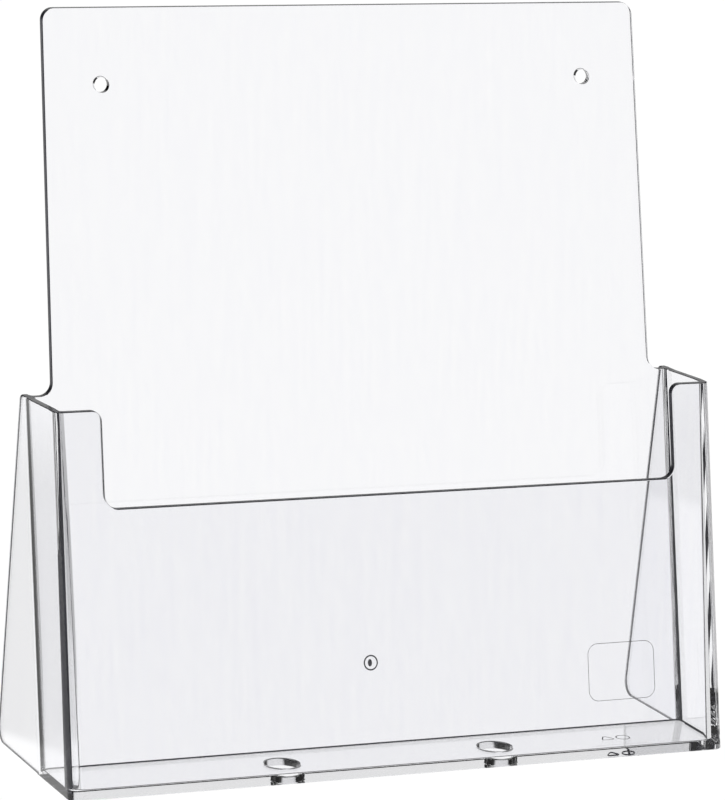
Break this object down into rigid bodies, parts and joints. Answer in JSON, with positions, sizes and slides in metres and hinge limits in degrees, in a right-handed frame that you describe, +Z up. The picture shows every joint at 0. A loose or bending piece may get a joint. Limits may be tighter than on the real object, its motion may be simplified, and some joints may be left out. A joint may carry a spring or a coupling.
{
  "type": "magazine rack",
  "caption": "Clear plastic A4 magazine rack: a leaning pocket with a low front cut-out, a tall back panel with screw holes, and rear feet for standing on a counter.",
  "frame": {"origin": "on the table, under the middle of the rack's bounding box", "axes": "+X to the right seen from the front, +Y towards the back, +Z up; the pocket opens upwards and its cut-out faces -Y"},
  "size_m": [0.23, 0.0798, 0.2395],
  "materials": {
    "clear_plastic": "polished clear polystyrene, water-clear with dark edges"
  },
  "bodies": {
    "root": {"back_panel": "clear_plastic", "front_panel": "clear_plastic", "floor_panel": "clear_plastic", "left_side_wall": "clear_plastic", "right_side_wall": "clear_plastic", "left_rear_foot": "clear_plastic", "right_rear_foot": "clear_plastic"}
  },
  "joints": []
}
